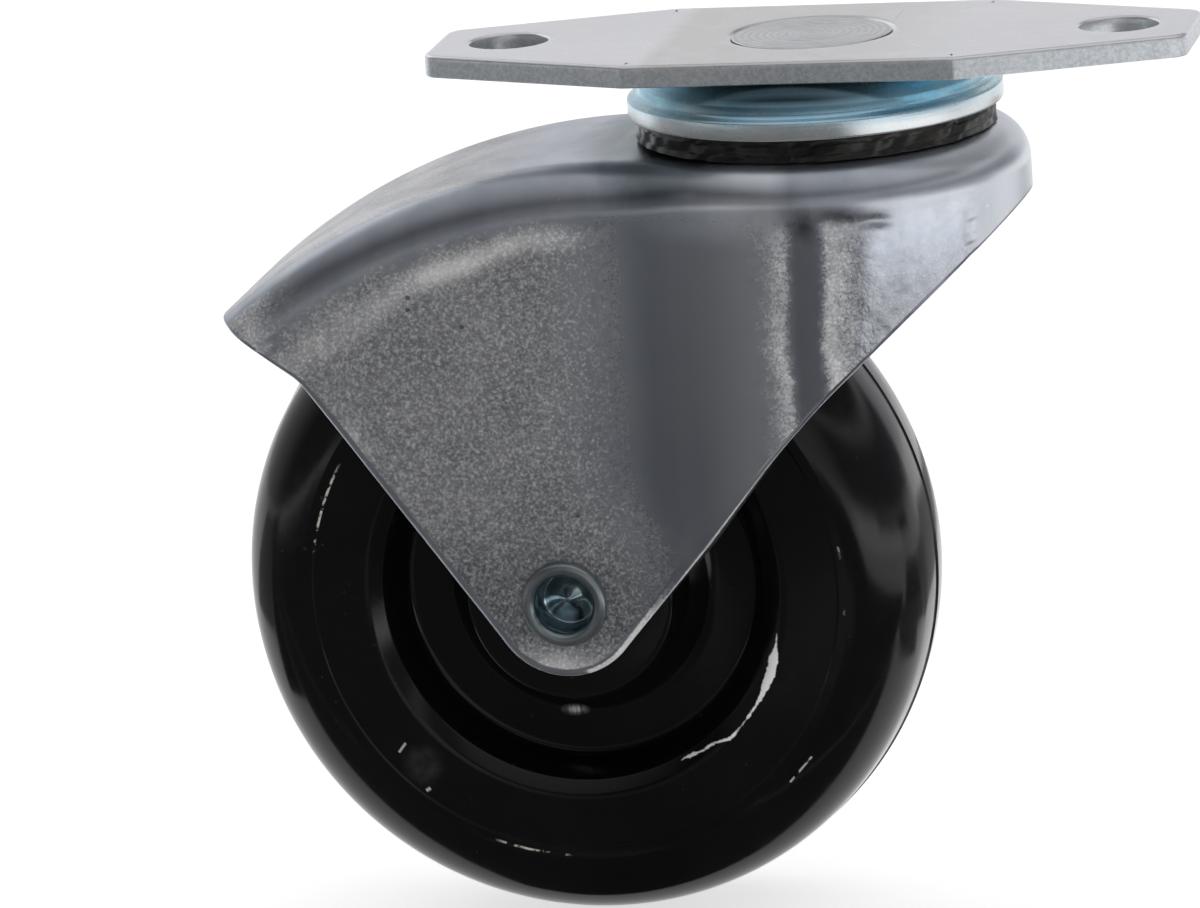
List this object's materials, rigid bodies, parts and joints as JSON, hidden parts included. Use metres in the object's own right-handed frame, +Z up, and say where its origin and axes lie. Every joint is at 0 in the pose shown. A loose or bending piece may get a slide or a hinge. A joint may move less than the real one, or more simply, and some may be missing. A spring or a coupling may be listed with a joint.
{
  "type": "swivel castor",
  "caption": "Swivel castor with an oblong bolt-on top plate, a pressed zinc-plated hooded fork on a double ball race, and a black moulded wheel on a riveted axle.",
  "frame": {"origin": "on the swivel axis, on the top face of the plate, midway between the two fixing holes", "axes": "+Z up out of the plate's top face, +X along the plate away from the trailing wheel, +Y along the wheel axle"},
  "size_m": [0.1125, 0.048, 0.1015],
  "materials": {
    "plate_zinc": "zinc plated sheet with a pale satin face and darker sheared edges",
    "pin_zinc": "zinc plated rivet steel with fine spinning rings",
    "blue_zinc": "bright zinc with blue passivation",
    "ball_steel": "bearing balls in dark grease",
    "fork_zinc": "zinc plated deep-drawn sheet, grainy satin on the flats, smooth on the drawn bends",
    "race_zinc": "zinc plated pressed race",
    "rivet_zinc": "zinc plated rivet with a faint blue-green tint",
    "tube_steel": "plain drawn steel tube",
    "black_moulding": "glossy black moulded plastic"
  },
  "bodies": {
    "head": {"top_plate": "plate_zinc", "kingpin": "pin_zinc", "upper_cup": "blue_zinc", "lower_cup": "race_zinc"},
    "fork": {"fork": "fork_zinc", "axle_rivet": "rivet_zinc", "axle_tube": "tube_steel"},
    "wheel": {"wheel": "black_moulding"},
    "upper_ball_ring": {"upper_balls": "ball_steel"},
    "lower_ball_ring": {"lower_balls": "ball_steel"}
  },
  "joints": [
    {"name": "swivel", "type": "hinge", "parent": "head", "child": "fork", "pos_m": [0, 0, 0], "axis": [0, 0, 1], "continuous": true},
    {"name": "wheel_spin", "type": "hinge", "parent": "fork", "child": "wheel", "pos_m": [-0.029, 0, -0.0615], "axis": [0, 1, 0], "continuous": true},
    {"name": "upper_ball_orbit", "type": "hinge", "parent": "head", "child": "upper_ball_ring", "pos_m": [0, 0, -0.00745], "axis": [0, 0, 1], "continuous": true},
    {"name": "lower_ball_orbit", "type": "hinge", "parent": "head", "child": "lower_ball_ring", "pos_m": [0, 0, -0.0157], "axis": [0, 0, 1], "continuous": true}
  ],
  "couplings": [
    {"joint": "upper_ball_orbit", "follows": "swivel", "ratio": 0.5},
    {"joint": "lower_ball_orbit", "follows": "swivel", "ratio": 0.5}
  ]
}
